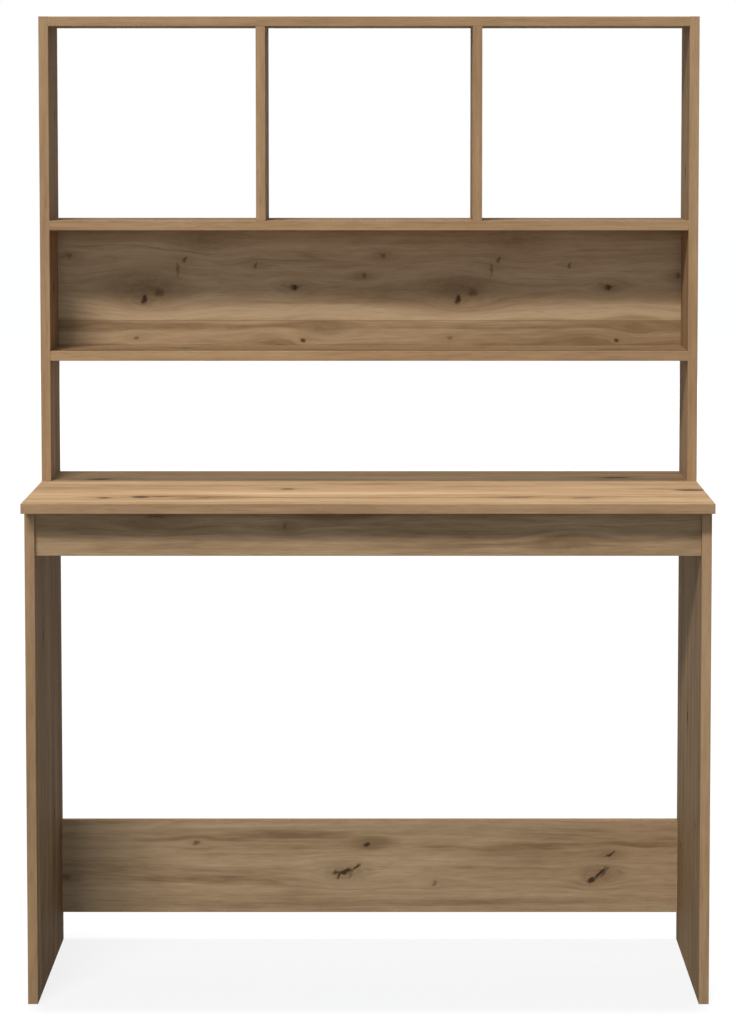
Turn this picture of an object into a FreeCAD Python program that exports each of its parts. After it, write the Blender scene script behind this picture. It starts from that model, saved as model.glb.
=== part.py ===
import FreeCAD, Part
import os
from math import cos, radians, sin, sqrt
from FreeCAD import Placement, Rotation, Vector

# A desk with an open bookcase, the hutch, standing on the back of its top.
# Faced boards of one thickness meet at right angles, and glued bands cover the cut edges that show.
# Dowels place the boards, and cam locks and connecting screws pull them together.
# Sizes are in millimetres. +X is right, +Y is back, +Z is up.
# The origin is on the floor, under the middle of the desk.

# Overall sizes
desk_width = 1020.0
desk_depth = 450.0
desk_height = 760.0
hutch_depth = 145.0
hutch_height = 720.0
board_thickness = 15.0

# Boards under the desktop
leg_setback = 50.0
apron_height = 70.0
apron_setback = 10.0
stretcher_height = 150.0
stretcher_ground_gap = 47.0

# Spaces in the hutch
cubby_height = 300.0
gap_height = 187.5

# Edge bands, whose outer corners are rounded over all but band_flat of their thickness
band_thickness = 1.0
band_flat = 0.2

# Room that a bore leaves beside and beyond its fastener
bore_clearance = 0.1
bore_end_gap = 0.5

# Where the front fasteners of a leg sit, from the leg's front edge and from each other
leg_fastener_inset = 60.0
leg_fastener_pitch = 32.0

# Wooden dowels, with the board left behind a dowel that sits in a face
dowel_diameter = 8.0
dowel_length = 30.0
dowel_chamfer = 1.0
dowel_wall = 4.0

# Cam locks, with the board left behind a cam and the distance from the joint to its centre
cam_diameter = 15.0
cam_setback = 34.0
cam_wall = 2.5
cam_sink = 0.3
cam_track_room = 1.8
cam_throw = 1.0
cam_entry_angle = 120.0
cam_slot_lead_angle = 30.0
cam_cross_length = 8.0
cam_cross_width = 1.6
cam_cross_depth = 1.8

# Bolts that the cams pull, with the board left behind a bolt that sits in a face
bolt_diameter = 5.0
bolt_wall = 4.0
bolt_edge_bore = 8.0
bolt_neck_diameter = 3.6
bolt_neck_reach = 2.0
bolt_head_diameter = 6.4
bolt_head_chamfer = 1.4

# Connecting screws
screw_length = 50.0
screw_core_diameter = 5.0
screw_shank_diameter = 7.0
screw_head_diameter = 10.0
screw_head_height = 2.5
screw_sink = 0.3
screw_tip_length = 4.0
screw_tip_diameter = 2.0
screw_socket_width = 4.0
screw_socket_depth = 2.2

# Planes that the boards share
outer_x = desk_width / 2
inner_x = outer_x - board_thickness
front_y = -desk_depth / 2
back_y = desk_depth / 2
leg_front_y = front_y + leg_setback
apron_front_y = leg_front_y + apron_setback
hutch_front_y = back_y - hutch_depth
under_top_z = desk_height - board_thickness
hutch_top_z = desk_height + hutch_height
hutch_ceiling_z = hutch_top_z - board_thickness
upper_shelf_z = hutch_ceiling_z - cubby_height
bay_ceiling_z = upper_shelf_z - board_thickness
gap_ceiling_z = desk_height + gap_height
lower_shelf_z = gap_ceiling_z + board_thickness

# The track in a cam, round the head of its bolt
cam_track_radius = bolt_head_diameter / 2 + cam_track_room

# Each face of a board by its side and its axis
FACES = {"left": "-x", "right": "+x", "front": "-y", "back": "+y", "bottom": "-z", "top": "+z"}
TOLERANCE = 1e-6


def facing(face):
    """The number of a face's axis, and the side of the board that the face is on."""
    sign, axis = FACES[face]
    return "xyz".index(axis), int(sign + "1")


def normal(face):
    """The outward direction of a face."""
    axis, side = facing(face)
    direction = Vector()
    direction[axis] = side
    return direction


def box(low, high):
    """A box between two corners."""
    size = high - low
    return Part.makeBox(size.x, size.y, size.z, low)


def turned(profile):
    """A solid turned about Z from (radius, height) points that start and end on the axis."""
    points = [Vector(radius, 0, height) for radius, height in profile]
    outline = Part.makePolygon(points + points[:1])
    return Part.Face(outline).revolve(Vector(), Vector(0, 0, 1), 360)


def placed(shape, placement):
    """A copy of a shape at a placement."""
    copy = shape.copy()
    copy.Placement = placement.multiply(shape.Placement)
    return copy


class Board:
    """A board, given by the span of its finished outline on each axis and its banded faces."""

    def __init__(self, spans, banded):
        self.low = Vector(*[span[0] for span in spans])
        self.high = Vector(*[span[1] for span in spans])
        self.banded = banded
        self.bores = []

    def middle(self):
        """The centre of the board."""
        return (self.low + self.high) / 2

    def thin_axis(self):
        """The axis that runs through the board's thickness."""
        size = self.high - self.low
        return min(range(3), key=lambda axis: size[axis])

    def split(self, face, low, high):
        """Cut a band's thickness off one face of a box: the band's corners, then the rest's."""
        axis, side = facing(face)
        band_low, band_high = Vector(low), Vector(high)
        rest_low, rest_high = Vector(low), Vector(high)
        if side > 0:
            band_low[axis] = rest_high[axis] = high[axis] - band_thickness
        else:
            band_high[axis] = rest_low[axis] = low[axis] + band_thickness
        return (band_low, band_high), (rest_low, rest_high)

    def drilled(self, shape):
        """A solid of this board with the board's bores cut out of it."""
        if not self.bores:
            return shape
        return shape.cut(self.bores).Solids[0]

    def solids(self):
        """The core of the board, and its bands: each band runs past the ends of those after it."""
        rest = (self.low, self.high)
        bands = []
        for face in self.banded:
            band, rest = self.split(face, *rest)
            bands.append(self.drilled(edge_band(face, *band)))
        return self.drilled(box(*rest)), bands


def edge_band(face, low, high):
    """A glued strip with its two long outer corners rounded."""
    axis, side = facing(face)
    outer = high[axis] if side > 0 else low[axis]
    length = max(high - low)
    strip = box(low, high)
    corners = []
    for edge in strip.Edges:
        on_outside = abs(edge.CenterOfMass[axis] - outer) < TOLERANCE
        if on_outside and abs(edge.Length - length) < TOLERANCE:
            corners.append(edge)
    return strip.makeFillet(band_thickness - band_flat, corners)


class Fastener:
    """The pieces that a fastener brings to a joint, by node, and the bores that they need.

    The fastener's origin is on the plane of the joint. Its Z leads into the board that is held by
    its edge, and its X is square to that board's faces.
    """

    def __init__(self, pieces, bores):
        self.pieces = pieces
        self.bores = bores


def dowel():
    """A beech dowel with chamfered ends, shared by the face of one board and the edge of the next."""
    radius = dowel_diameter / 2
    end_radius = radius - dowel_chamfer
    low = bore_end_gap - (board_thickness - dowel_wall)
    high = low + dowel_length
    peg = turned([
        (0, low),
        (end_radius, low),
        (radius, low + dowel_chamfer),
        (radius, high - dowel_chamfer),
        (end_radius, high),
        (0, high),
    ])
    bore_low = low - bore_end_gap
    bore_length = dowel_length + 2 * bore_end_gap
    bore = Part.makeCylinder(radius + bore_clearance, bore_length, Vector(0, 0, bore_low))
    return Fastener({"wooden_dowels": peg}, [bore])


def screw_profile(room, end_gap, top):
    """Half the section of a connecting screw, or of its bore with room beside and beyond the screw."""
    head = screw_head_diameter / 2 + room
    shank = screw_shank_diameter / 2 + room
    core = screw_core_diameter / 2 + room
    tip = screw_tip_diameter / 2 + room
    neck = screw_sink - board_thickness + screw_head_height
    end = screw_sink - board_thickness + screw_length
    return [
        (0, top),
        (head, top),
        (head, neck),
        (shank, neck + head - shank),
        (shank, end_gap),
        (core, end_gap),
        (core, end - screw_tip_length),
        (tip, end + end_gap),
        (0, end + end_gap),
    ]


def connecting_screw():
    """A screw with a flat head and hexagon socket, a plain shank in one board and a core in the next."""
    top = screw_sink - board_thickness
    screw = turned(screw_profile(0, 0, top))
    corner = screw_socket_width / 2 / cos(radians(30))
    points = []
    for turn in range(7):
        angle = radians(60 * turn)
        points.append(Vector(corner * cos(angle), corner * sin(angle), top))
    socket = Part.Face(Part.makePolygon(points)).extrude(Vector(0, 0, screw_socket_depth))
    bore = turned(screw_profile(bore_clearance, bore_end_gap, -board_thickness))
    return Fastener({"connecting_screws": screw.cut(socket).Solids[0]}, [bore])


def cam():
    """A locked cam about Z, level with the middle of its board, with the bolt coming from +X.

    The bolt's head turns in behind the wall of an eccentric track. The wall is thin at the entry,
    where the head goes in, and thicker towards the bolt, so that turning the cam pulls the bolt.
    """
    radius = cam_diameter / 2
    floor = cam_wall - board_thickness / 2
    top = board_thickness / 2 - cam_sink
    body = Part.makeCylinder(radius, top - floor, Vector(0, 0, floor))
    entry = Vector(cos(radians(cam_entry_angle)), sin(radians(cam_entry_angle)), 0)
    head_room = bolt_head_diameter / 2 + bore_clearance
    neck_room = bolt_neck_diameter / 2 + bore_clearance
    track_centre = entry * cam_throw - Vector(0, 0, head_room)
    track = Part.makeCylinder(cam_track_radius, 2 * head_room, track_centre)
    sweep = cam_entry_angle + cam_slot_lead_angle
    slot_base = Vector(0, 0, -neck_room)
    slot = Part.makeCylinder(cam_diameter, 2 * neck_room, slot_base, Vector(0, 0, 1), sweep)
    slot.rotate(Vector(), Vector(0, 0, 1), -cam_slot_lead_angle)
    mouth = Part.makeCylinder(head_room, cam_diameter, Vector(), entry)
    reach = Vector(cam_cross_length, cam_cross_width, 0) / 2
    turned_reach = Vector(reach.y, reach.x, 0)
    cross_top = Vector(0, 0, top)
    cross_floor = Vector(0, 0, top - cam_cross_depth)
    cross = [box(cross_floor - half, cross_top + half) for half in (reach, turned_reach)]
    return body.cut([track, slot, mouth] + cross).Solids[0]


def cam_lock():
    """A cam in the face of a board, and its bolt from the face of the board across the joint."""
    seat = board_thickness - bolt_wall
    radius = bolt_diameter / 2
    neck = bolt_neck_diameter / 2
    head = bolt_head_diameter / 2
    head_end = head - bolt_head_chamfer
    angle = radians(cam_entry_angle)
    lift = cam_throw * sin(angle) + head
    shoulder = sqrt(cam_track_radius ** 2 - lift ** 2) + cam_throw * cos(angle) - bore_clearance
    head_centre = cam_setback - shoulder + head - bolt_head_chamfer
    bore_end = head_centre + head + bore_end_gap
    neck_start = cam_setback - cam_diameter / 2 - bolt_neck_reach
    bolt = turned([
        (0, bore_end_gap - seat),
        (radius, bore_end_gap - seat),
        (radius, neck_start),
        (neck, neck_start),
        (neck, head_centre - head),
        (head, head_centre - head + bolt_head_chamfer),
        (head, head_centre + head - bolt_head_chamfer),
        (head_end, head_centre + head),
        (0, head_centre + head),
    ])
    bolt_bore = turned([
        (0, -seat),
        (radius + bore_clearance, -seat),
        (radius + bore_clearance, 0),
        (bolt_edge_bore / 2, 0),
        (bolt_edge_bore / 2, bore_end),
        (0, bore_end),
    ])
    seated = Placement(Vector(0, 0, cam_setback), Rotation(Vector(0, 1, 0), 90))
    floor = Vector(0, 0, cam_wall - board_thickness / 2)
    pocket = Part.makeCylinder(cam_diameter / 2 + bore_clearance, board_thickness - cam_wall, floor)
    pieces = {"cam_bolts": bolt, "cam_locks": placed(cam(), seated)}
    return Fastener(pieces, [bolt_bore, placed(pocket, seated)])


FASTENERS = {"dowel": dowel(), "cam": cam_lock(), "screw": connecting_screw()}
hardware = {}


def evenly(low, high, count):
    """Places that divide a span into equal lengths."""
    step = (high - low) / (count + 1)
    return [low + step * (number + 1) for number in range(count)]


def join(face_board, edge_board, edge, kinds, places=None, cam_face=None):
    """Hold an edge of one board against the face of another with a row of fasteners.

    edge names the face of edge_board that meets face_board. places are coordinates along the row,
    or else the fasteners are evenly spaced. The cams open on cam_face of edge_board.
    """
    edge_axis, side = facing(edge)
    thin_axis = edge_board.thin_axis()
    row_axis = next(axis for axis in range(3) if axis not in (edge_axis, thin_axis))
    if places is None:
        places = evenly(edge_board.low[row_axis], edge_board.high[row_axis], len(kinds))
    inward = normal(edge) * -1
    across = Vector()
    across[thin_axis] = 1
    if cam_face:
        across = normal(cam_face)
    turn = Rotation(across, Vector(), inward, "ZXY")
    for kind, place in zip(kinds, places):
        point = edge_board.middle()
        point[edge_axis] = edge_board.high[edge_axis] if side > 0 else edge_board.low[edge_axis]
        point[row_axis] = place
        seat = Placement(point, turn)
        for node, piece in FASTENERS[kind].pieces.items():
            hardware.setdefault(node, []).append(placed(piece, seat))
        for bore in FASTENERS[kind].bores:
            face_board.bores.append(placed(bore, seat))
            edge_board.bores.append(placed(bore, seat))


def desk_boards():
    """The desktop and what stands under it."""
    across = (-inner_x, inner_x)
    leg_y = (leg_front_y, back_y)
    leg_z = (0, under_top_z)
    apron_y = (apron_front_y, apron_front_y + board_thickness)
    apron_z = (under_top_z - apron_height, under_top_z)
    stretcher_y = (back_y - board_thickness, back_y)
    stretcher_z = (stretcher_ground_gap, stretcher_ground_gap + stretcher_height)
    desktop_spans = ((-outer_x, outer_x), (front_y, back_y), (under_top_z, desk_height))
    return {
        "desktop": Board(desktop_spans, ["front", "back", "left", "right"]),
        "left_leg_panel": Board(((-outer_x, -inner_x), leg_y, leg_z), ["front", "back"]),
        "right_leg_panel": Board(((inner_x, outer_x), leg_y, leg_z), ["front", "back"]),
        "front_apron": Board((across, apron_y, apron_z), ["bottom"]),
        "rear_stretcher": Board((across, stretcher_y, stretcher_z), ["top", "bottom"]),
    }


def hutch_boards():
    """The bookcase on the desktop: two sides, the boards between them and two dividers."""
    across = (-inner_x, inner_x)
    depth = (hutch_front_y, back_y)
    side_z = (desk_height, hutch_top_z)
    ends = ["front", "back"]
    boards = {
        "hutch_left_side": Board(((-outer_x, -inner_x), depth, side_z), ends + ["top"]),
        "hutch_right_side": Board(((inner_x, outer_x), depth, side_z), ends + ["top"]),
        "hutch_top": Board((across, depth, (hutch_ceiling_z, hutch_top_z)), ends),
        "upper_shelf": Board((across, depth, (bay_ceiling_z, upper_shelf_z)), ends),
        "lower_shelf": Board((across, depth, (gap_ceiling_z, lower_shelf_z)), ends),
    }
    back_depth = (back_y - board_thickness, back_y)
    boards["hutch_back_panel"] = Board((across, back_depth, (lower_shelf_z, bay_ceiling_z)), [])
    names = ["left_divider", "right_divider"]
    cubby_width = (2 * inner_x - len(names) * board_thickness) / (len(names) + 1)
    for number, name in enumerate(names):
        divider_x = -inner_x + cubby_width + number * (cubby_width + board_thickness)
        spans = ((divider_x, divider_x + board_thickness), depth, (upper_shelf_z, hutch_ceiling_z))
        boards[name] = Board(spans, ends)
    return boards


def join_desk(boards):
    """Fix the desk's boards, with every cam on a face that is turned away from the front.

    The rear fasteners of a leg sit between those of the hutch side above it.
    """
    desktop = boards["desktop"]
    apron = boards["front_apron"]
    hutch_kinds = ["screw", "dowel", "screw"]
    hutch_places = evenly(hutch_front_y, back_y, len(hutch_kinds))
    between_places = [(low + high) / 2 for low, high in zip(hutch_places, hutch_places[1:])]
    front_place = leg_front_y + leg_fastener_inset
    leg_places = [front_place, front_place + leg_fastener_pitch] + between_places
    for side, inside in (("left", "right"), ("right", "left")):
        leg = boards[side + "_leg_panel"]
        hutch_side = boards["hutch_" + side + "_side"]
        join(desktop, leg, "top", ["cam", "dowel", "cam", "dowel"], leg_places, inside)
        join(desktop, hutch_side, "bottom", hutch_kinds, hutch_places)
        join(leg, apron, side, ["cam", "dowel"], cam_face="back")
        join(leg, boards["rear_stretcher"], side, ["cam", "dowel", "cam"], cam_face="back")
    join(desktop, apron, "top", ["dowel", "dowel"])


def join_hutch(boards):
    """Fix the hutch's boards, with the shelves' cams underneath and the back panel's behind."""
    back_panel = boards["hutch_back_panel"]
    for side in ("left", "right"):
        upright = boards["hutch_" + side + "_side"]
        for name in ("hutch_top", "upper_shelf", "lower_shelf"):
            join(upright, boards[name], side, ["cam", "dowel"], cam_face="bottom")
        join(upright, back_panel, side, ["cam", "dowel"], cam_face="back")
        divider = boards[side + "_divider"]
        join(boards["hutch_top"], divider, "top", ["screw", "screw"])
        join(boards["upper_shelf"], divider, "bottom", ["screw", "screw"])
    join(boards["upper_shelf"], back_panel, "top", ["dowel", "dowel"])
    join(boards["lower_shelf"], back_panel, "bottom", ["dowel", "dowel"])


def export(name, solids):
    """Write one node, as a solid or as a group of separate solids."""
    shape = solids[0] if len(solids) == 1 else Part.makeCompound(solids)
    shape.exportStep(f"parts/{name}.step")


def main():
    os.makedirs("parts", exist_ok=True)
    boards = desk_boards()
    boards.update(hutch_boards())
    join_desk(boards)
    join_hutch(boards)
    for name, board in boards.items():
        core, bands = board.solids()
        export(name, [core])
        if bands:
            export(name + "_edge_bands", bands)
    for name, pieces in hardware.items():
        export(name, pieces)


main()
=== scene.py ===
"""Finishes the desk with its bookcase in oak decor, and sets it in a plain studio.

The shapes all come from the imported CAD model. This file gives each board, edge band and
fastener its finish, and adds the floor, the lights and the camera.
"""

from dataclasses import dataclass, replace
from math import cos, pi, radians, sin

import bpy
import numpy as np
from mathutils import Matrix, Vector


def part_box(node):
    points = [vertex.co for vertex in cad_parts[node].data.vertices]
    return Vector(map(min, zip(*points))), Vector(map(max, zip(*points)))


bl_info = {
    "name": "Oak desk with bookcase",
    "version": (1, 0, 0),
    "blender": (4, 5, 0),
    "location": "View3D > Sidebar > Desk",
    "description": "Gives the boards, bands and fasteners of a desk their finishes and sets the studio",
    "category": "Material",
}

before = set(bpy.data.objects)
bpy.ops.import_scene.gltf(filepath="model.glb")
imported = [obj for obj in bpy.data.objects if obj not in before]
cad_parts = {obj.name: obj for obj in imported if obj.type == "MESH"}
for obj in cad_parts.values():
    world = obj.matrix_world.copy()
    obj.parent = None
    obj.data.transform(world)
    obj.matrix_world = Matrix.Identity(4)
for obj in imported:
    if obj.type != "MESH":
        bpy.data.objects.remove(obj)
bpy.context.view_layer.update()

AXES = "XYZ"
NUMBER = "NodeSocketFloat"
VECTOR = "NodeSocketVector"
# The sockets of a Mix node for its share, its first and second value, and its result.
MIX_SOCKETS = {"VECTOR": (0, 4, 5, 1), "RGBA": (0, 6, 7, 2)}
NODE_SPACING = 200.0

# The tone of the wood goes from the darkest over the body of the decor to the palest.
DARKEST_TONE = 0.02
BODY_TONE = 0.50
PALEST_TONE = 0.98
# How much darker the upright boards' tone is, as painted shade for their side faces, and how far apart the
# tones of two planks can be.
UPRIGHT_PAINTED_SHADE = -0.10
PLANK_TONE = 0.34
# How far each plank's part of the decor lies from the last one, along the grain and in depth.
PLANK_JUMP = 7.0
PLANK_DEPTH = 0.9
# Half the width of the seam between two planks, as a share of a plank, and how dark it is.
SEAM_WIDTH = 0.007
SEAM_SHARE = 0.75
# How far the grain and the borders of the streaks wander across, in metres from end to end.
GRAIN_SWAY = 0.030
STREAK_FRAY = 0.022
# Contour lines in the veins' noise, and half their width as a share of the gap between two.
VEIN_LINES = 6.0
VEIN_WIDTH = 0.09
# How much of the dark wood's colour veins and pores take, and how much of that veins take on bands.
VEIN_SHARE = 0.42
PORE_SHARE = 0.45
BAND_VEINS = 0.4
# Bands have less difference of tone than boards, and their own part of the decor at sides and ends.
BAND_CONTRAST = 0.7
BAND_SIDE_SHIFT = 0.4
BAND_END_SHIFT = 0.7

# The grain makes room for a knot's heart up to this half length, and the knot shows this many sizes out.
KNOT_LONGEST = 0.025
KNOT_REACH = 4.0
# How ragged the border of a heart is: ups and downs a metre, and how far they go in metres.
RAGGED_SCALE = 120.0
RAGGED_MOST = 0.010
# Where a heart, a cloud and a streak begin to fade and where they end, in half lengths of each.
HEART_FADE = (0.20, 1.20)
CLOUD_FADE = (0.10, 1.25)
STREAK_FADE = (0.2, 1.0)
# Half lengths of a cloud along and across the grain, for a knot of size one.
CLOUD_SIZE = (2.2, 0.9)
# How far out the grain bends, in half lengths of the cloud, and how much of the way it goes.
BEND_REACH = 1.8
BEND_MOST = 0.75
# Where in a heart's darkness the colour goes over to dark wood, and then to that of a crack.
HEART_WOOD = (0.0, 0.45)
HEART_CRACK = (0.25, 1.0)

# The shine of the decor, how much duller pores and bare edges are, and how much glossier pale wood is.
DECOR_SHINE = 0.02
PORE_DULLNESS = 0.15
EDGE_DULLNESS = 0.3
PALE_GLOSS = 0.06
# How deep a pore lies, where the palest wood stands about one above the darkest.
PORE_DEPTH = 0.6
# How much of its normal a face turns through the board: bare edge below the first, decor above the second.
EDGE_TURN = (0.6, 0.8)
# A band on an end of its board lies within this much of the end.
END_BAND = 0.0012

# Relief of the finishes: strength, and height in metres.
BOARD_RELIEF = (0.12, 0.0004)
BAND_RELIEF = (0.10, 0.0003)
DOWEL_RELIEF = (0.20, 0.0003)
CAST_RELIEF = (0.25, 0.00015)
PLATED_RELIEF = (0.25, 0.00005)

# The floor lies just below the feet. The camera sees it glow and take a little shade.
FLOOR_DROP = 0.0005
FLOOR_GLOW = 0.84
FLOOR_SHADE = (0.15, 0.15, 0.15)
WHITE = (1.0, 1.0, 1.0)

# All softboxes look at this point from this far.
LAMP_AIM = (0.0, 0.0, 0.85)
LAMP_DISTANCE = 12.0
SUN_ANGLE = 0.08
SUN_HEIGHT = 4.0
# Boards that stand further out than this from the middle are the outer ones.
OUTER_FROM = 0.4
# Boards that touch are nearer than this.
TOUCH = 0.001


@dataclass
class Softbox:
    """Where a rectangular lamp stands: the way from the object to it, and its width and height."""

    way: tuple
    width: float
    height: float


DESK_KEY = Softbox((-0.306, -1.0, 0.72), 4.0, 1.4)
HUTCH_KEY = Softbox((-0.44, -1.0, 0.957), 4.0, 1.4)
FILL = Softbox((0.0, -1.0, 0.13), 4.0, 3.0)
BACK = Softbox((0.0, 1.0, 0.17), 4.0, 2.0)
LEFT = Softbox((-1.0, 0.10, 0.25), 4.0, 4.0)
RIGHT = Softbox((1.0, 0.10, 0.25), 4.0, 4.0)


@dataclass
class Layer:
    """One layer of noise in the tone of the oak.

    along and across are its ups and downs in a metre with the grain and over it. detail and
    roughness set how much finer noise lies in it, and amount is how far it moves the tone.
    """

    along: float
    across: float
    detail: float
    roughness: float
    amount: float


BROAD_BANDS = Layer(0.9, 26.0, 2.0, 0.5, 0.90)
FINE_STREAKS = Layer(2.4, 120.0, 4.0, 0.6, 0.90)
FIBRES = Layer(7.0, 600.0, 2.0, 0.6, 0.35)
PATCHES = Layer(4.5, 22.0, 3.0, 0.6, 0.80)
FLAKES = Layer(22.0, 170.0, 3.0, 0.6, 0.70)


@dataclass
class Knot:
    """One knot or crack in a board.

    along and across are its place in the grain, and length and width the half lengths of its heart,
    in metres. turn is the angle of the heart to the grain in degrees, dark is how black the heart
    is, and cloud how dark the wood round it is.
    """

    along: float
    across: float
    length: float
    width: float
    turn: float = 0.0
    dark: float = 1.0
    cloud: float = 0.6

    def size(self):
        """The size of the room that the grain makes for it, in metres."""
        return min(self.length, KNOT_LONGEST) + self.width


@dataclass
class Streak:
    """One long soft streak of paler or darker wood in a board; the whole-length darker bands at the back
    of the desktop and the top of the apron are painted shade.

    along and across are the place of its middle in the grain, and length and width its half lengths,
    in metres. tone is how much paler its wood is, or darker where it is below zero.
    """

    along: float
    across: float
    length: float
    width: float
    tone: float


@dataclass
class BoardLook:
    """How the decor lies on one board.

    along, across and through are the axes that run with the grain, over the face and through the
    board. start is where its planks begin across the grain, and shift sets the board's own part of
    the decor. repeat is where along the grain the printed knots begin and end before they come
    again, or None. tone is how much paler the whole board is, or darker where it is below zero;
    on the upright boards that darker tone is painted shade.
    """

    along: str
    across: str
    through: str
    start: float
    shift: float
    knots: tuple = ()
    streaks: tuple = ()
    repeat: tuple = None
    tone: float = 0.0


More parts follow.
